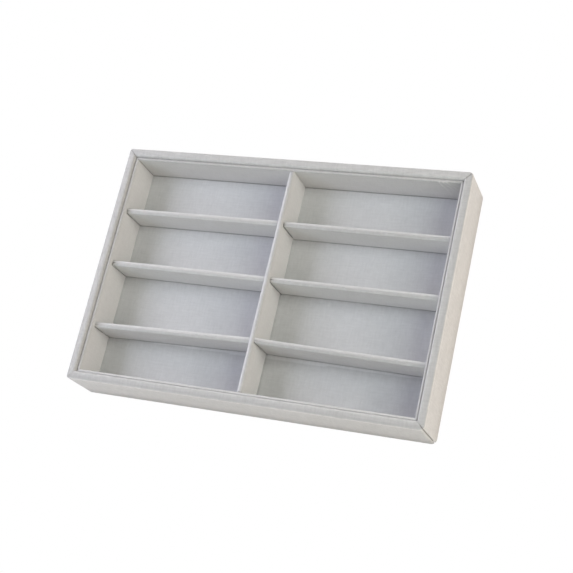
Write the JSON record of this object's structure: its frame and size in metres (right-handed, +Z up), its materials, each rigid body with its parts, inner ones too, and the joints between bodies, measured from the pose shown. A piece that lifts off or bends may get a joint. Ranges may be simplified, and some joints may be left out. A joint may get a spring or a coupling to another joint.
{
  "type": "sunglass organizer tray",
  "caption": "Open rectangular tray covered in pale cloth, with a soft mitred rim, a lined floor, and a spine and cross dividers that form long compartments for folded sunglasses.",
  "frame": {"origin": "middle of the underside, on the surface that the tray stands on", "axes": "+X along the length to the right, +Y to the back, +Z up"},
  "size_m": [0.35, 0.24, 0.05],
  "materials": {
    "wall_cloth": "pale grey fine-woven cloth over thin padding",
    "liner_cloth": "pale grey fine-woven cloth",
    "divider_cloth": "pale grey fine-woven cloth over thin padding",
    "floor_cloth": "pale grey matt cloth",
    "floor_foam": "soft foam sheet",
    "wall_board": "raw fibreboard",
    "thin_board": "raw grey board",
    "base_sheet": "grey felt sheet"
  },
  "bodies": {
    "root": {"base_board": "wall_board", "base_sheet": "base_sheet", "front_wall_board": "wall_board", "back_wall_board": "wall_board", "left_wall_board": "wall_board", "right_wall_board": "wall_board", "front_wall_wrap": "wall_cloth", "back_wall_wrap": "wall_cloth", "left_wall_wrap": "wall_cloth", "right_wall_wrap": "wall_cloth", "front_liner_board": "thin_board", "back_liner_board": "thin_board", "left_liner_board": "thin_board", "right_liner_board": "thin_board", "front_liner_cover": "liner_cloth", "back_liner_cover": "liner_cloth", "left_liner_cover": "liner_cloth", "right_liner_cover": "liner_cloth", "floor_board": "thin_board", "floor_foam": "floor_foam", "floor_lining": "floor_cloth", "spine_board": "thin_board", "spine_sleeve": "divider_cloth", "left_back_divider_board": "thin_board", "left_middle_divider_board": "thin_board", "left_front_divider_board": "thin_board", "right_back_divider_board": "thin_board", "right_middle_divider_board": "thin_board", "right_front_divider_board": "thin_board", "left_back_divider_sleeve": "divider_cloth", "left_middle_divider_sleeve": "divider_cloth", "left_front_divider_sleeve": "divider_cloth", "right_back_divider_sleeve": "divider_cloth", "right_middle_divider_sleeve": "divider_cloth", "right_front_divider_sleeve": "divider_cloth"}
  },
  "joints": []
}
